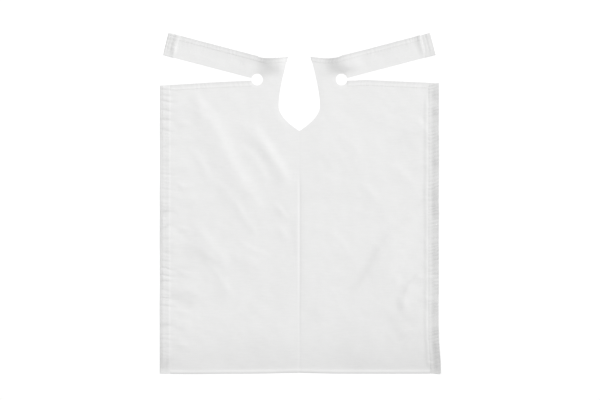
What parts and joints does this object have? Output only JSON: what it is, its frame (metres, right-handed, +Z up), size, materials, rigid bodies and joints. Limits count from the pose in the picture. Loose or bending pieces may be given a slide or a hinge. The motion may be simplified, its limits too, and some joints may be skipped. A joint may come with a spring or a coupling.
{
  "type": "bib apron",
  "caption": "Flat-cut cloth bib apron with a keyhole neck opening, slit neck tabs ending in relief holes, stitched side hems and a centre crease.",
  "frame": {"origin": "on the surface the apron lies on, under the middle of its bounding box", "axes": "+X towards the apron's right side as seen from above, +Y up the apron towards the neck and the tabs, +Z up from the cloth, on the side that the hems are turned to"},
  "size_m": [0.762, 0.9318, 0.0018],
  "materials": {
    "cloth": "thin plain-woven undyed white cloth",
    "hem": "the same cloth, turned over twice and pressed",
    "thread": "white spun sewing thread"
  },
  "bodies": {
    "left_half": {"left_front_panel": "cloth", "left_side_hem": "hem", "left_bottom_hem": "hem", "left_wing_hem": "hem", "left_shoulder_hem": "hem", "left_side_stitching_outer": "thread", "left_side_stitching_inner": "thread", "left_bottom_stitching": "thread", "left_wing_stitching": "thread", "left_shoulder_stitching": "thread"},
    "left_tab_inner": {"left_tab_root": "cloth", "left_tab_root_hem": "hem", "left_tab_root_stitching": "thread"},
    "left_tab_centre": {"left_tab_middle": "cloth", "left_tab_middle_hem": "hem", "left_tab_middle_stitching": "thread"},
    "left_tab_outer": {"left_tab_end": "cloth", "left_tab_end_top_hem": "hem", "left_tab_end_top_stitching": "thread", "left_tab_end_side_hem": "hem", "left_tab_end_stitching_outer": "thread", "left_tab_end_stitching_inner": "thread"},
    "right_half": {"right_front_panel": "cloth", "right_side_hem": "hem", "right_bottom_hem": "hem", "right_wing_hem": "hem", "right_shoulder_hem": "hem", "right_side_stitching_outer": "thread", "right_side_stitching_inner": "thread", "right_bottom_stitching": "thread", "right_wing_stitching": "thread", "right_shoulder_stitching": "thread"},
    "right_tab_inner": {"right_tab_root": "cloth", "right_tab_root_hem": "hem", "right_tab_root_stitching": "thread"},
    "right_tab_centre": {"right_tab_middle": "cloth", "right_tab_middle_hem": "hem", "right_tab_middle_stitching": "thread"},
    "right_tab_outer": {"right_tab_end": "cloth", "right_tab_end_top_hem": "hem", "right_tab_end_top_stitching": "thread", "right_tab_end_side_hem": "hem", "right_tab_end_stitching_outer": "thread", "right_tab_end_stitching_inner": "thread"}
  },
  "joints": [
    {"name": "centre_fold", "type": "hinge", "parent": "left_half", "child": "right_half", "pos_m": [0, 0, 0.002], "axis": [0, 1, 0], "range_deg": [-175, 0]},
    {"name": "left_tab_swing", "type": "hinge", "parent": "left_half", "child": "left_tab_inner", "pos_m": [-0.1155, 0.33858, 0], "axis": [0, 0, -1], "range_deg": [-14.7, 0]},
    {"name": "left_tab_wrap", "type": "hinge", "parent": "left_tab_inner", "child": "left_tab_centre", "pos_m": [-0.17534, 0.38633, 0.002], "axis": [0.2538, 0.9673, 0], "range_deg": [0, 80]},
    {"name": "left_tab_curl", "type": "hinge", "parent": "left_tab_centre", "child": "left_tab_outer", "pos_m": [-0.26723, 0.41043, 0.002], "axis": [0.2538, 0.9673, 0], "range_deg": [0, 80]},
    {"name": "right_tab_swing", "type": "hinge", "parent": "right_half", "child": "right_tab_inner", "pos_m": [0.1155, 0.33858, 0], "axis": [0, 0, 1], "range_deg": [-14.7, 0]},
    {"name": "right_tab_wrap", "type": "hinge", "parent": "right_tab_inner", "child": "right_tab_centre", "pos_m": [0.17534, 0.38633, 0.002], "axis": [0.2538, -0.9673, 0], "range_deg": [0, 80]},
    {"name": "right_tab_curl", "type": "hinge", "parent": "right_tab_centre", "child": "right_tab_outer", "pos_m": [0.26723, 0.41043, 0.002], "axis": [0.2538, -0.9673, 0], "range_deg": [0, 80]}
  ],
  "couplings": [
    {"joint": "left_tab_curl", "follows": "left_tab_wrap", "ratio": 1},
    {"joint": "right_tab_curl", "follows": "right_tab_wrap", "ratio": 1}
  ]
}
